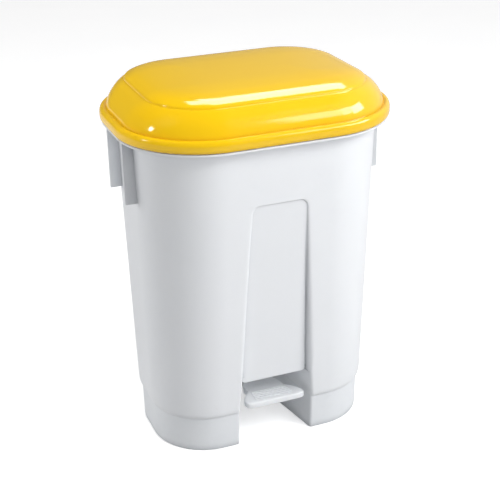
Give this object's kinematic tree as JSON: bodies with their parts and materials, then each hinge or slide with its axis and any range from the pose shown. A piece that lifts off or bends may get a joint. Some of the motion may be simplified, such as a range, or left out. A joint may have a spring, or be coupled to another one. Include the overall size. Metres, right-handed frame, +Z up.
{
  "type": "pedal bin",
  "caption": "Large oval-cornered pedal bin: drafted white body on a base plinth, domed yellow lid hinged at the back and raised by a front pedal through a rear push rod.",
  "frame": {"origin": "centre of the footprint, on the floor under the base plinth", "axes": "+Z up, -Y towards the front (the pedal side), +X towards the right-hand end seen from the front"},
  "size_m": [0.49, 0.38, 0.672],
  "materials": {
    "body_white": "satin moulded polypropylene",
    "plinth_white": "satin moulded polypropylene",
    "ring_grey": "satin moulded polypropylene",
    "lid_yellow": "glossy moulded polypropylene",
    "pedal_white": "satin moulded polypropylene",
    "nylon": "natural nylon",
    "steel": "drawn steel",
    "zinc": "zinc-plated steel",
    "rubber": "soft rubber"
  },
  "bodies": {
    "bin": {"body_shell": "body_white", "base_plinth": "plinth_white", "rear_cover": "body_white", "base_screw_1": "zinc", "base_screw_2": "zinc", "base_screw_3": "zinc", "base_screw_4": "zinc", "cover_screw_1": "zinc", "cover_screw_2": "zinc", "cover_screw_3": "zinc", "cover_screw_4": "zinc", "pedal_axle": "steel", "hinge_pin": "steel", "axle_spacer_left": "nylon", "axle_spacer_right": "nylon", "axle_clip_left": "zinc", "axle_clip_right": "zinc", "hinge_cap_left": "body_white", "hinge_cap_right": "body_white", "rod_guide_lower": "nylon", "rod_guide_upper": "nylon"},
    "lid": {"lid_shell": "lid_yellow", "lift_bracket": "steel", "bracket_screw_1": "zinc", "bracket_screw_2": "zinc", "lid_buffer_front_left": "rubber", "lid_buffer_front_right": "rubber", "lid_buffer_left": "rubber", "lid_buffer_right": "rubber"},
    "rod": {"push_rod": "steel", "rod_fork_lower": "nylon", "rod_fork_upper": "nylon", "rod_pin_lower": "steel", "rod_pin_upper": "steel"},
    "pedal_arm": {"pedal": "pedal_white", "pedal_bush_left": "nylon", "pedal_bush_right": "nylon"},
    "ring": {"bag_ring": "ring_grey"}
  },
  "joints": [
    {"name": "lid_hinge", "type": "hinge", "parent": "bin", "child": "lid", "pos_m": [0, 0.179, 0.6], "axis": [-1, 0, 0], "range_deg": [0, 75]},
    {"name": "rod_slide", "type": "slide", "parent": "bin", "child": "rod", "axis": [0, 0.076, 0.9971], "range_m": [0, 0.0335]},
    {"name": "pedal_hinge", "type": "hinge", "parent": "bin", "child": "pedal_arm", "pos_m": [0, 0.002, 0.0575], "axis": [1, 0, 0], "range_deg": [0, 17.7]},
    {"name": "ring_lift", "type": "slide", "parent": "bin", "child": "ring", "axis": [0, 0, 1], "range_m": [0, 0.03]}
  ],
  "couplings": [
    {"joint": "rod_slide", "follows": "lid_hinge", "m_per_rad": 0.02521},
    {"joint": "pedal_hinge", "follows": "lid_hinge", "ratio": 0.23333}
  ]
}
